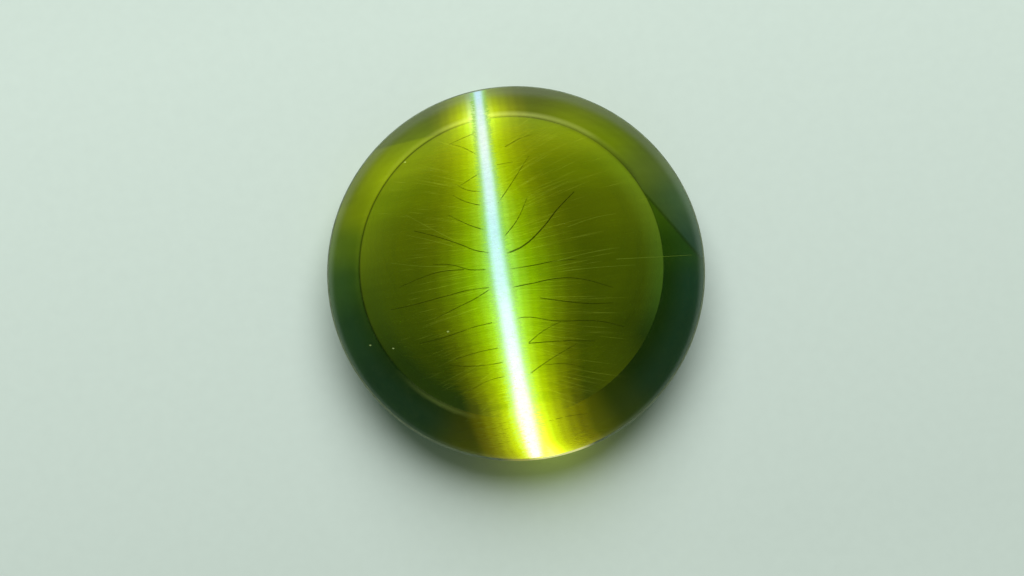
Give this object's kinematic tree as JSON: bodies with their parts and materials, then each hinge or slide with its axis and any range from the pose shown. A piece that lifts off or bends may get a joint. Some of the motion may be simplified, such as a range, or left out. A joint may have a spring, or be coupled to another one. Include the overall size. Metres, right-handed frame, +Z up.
{
  "type": "cats eye gemstone cabochon",
  "caption": "Round olive-green cat's-eye cabochon with a polished dome, a thin girdle and a bevelled back ground to an off-centre flat it rests on.",
  "frame": {"origin": "On the dome's axis, at the level of the back's flat, which is the surface that the stone rests on. The middle of the bottom of the bounding box.", "axes": "+Z up through the dome's top, +Y along the bright eye line towards the edge that is at the top of the picture, +X across it, along the silk fibres."},
  "size_m": [0.012, 0.012, 0.0048],
  "materials": {
    "stone": "polished"
  },
  "bodies": {
    "root": {"cabochon": "stone"}
  },
  "joints": []
}
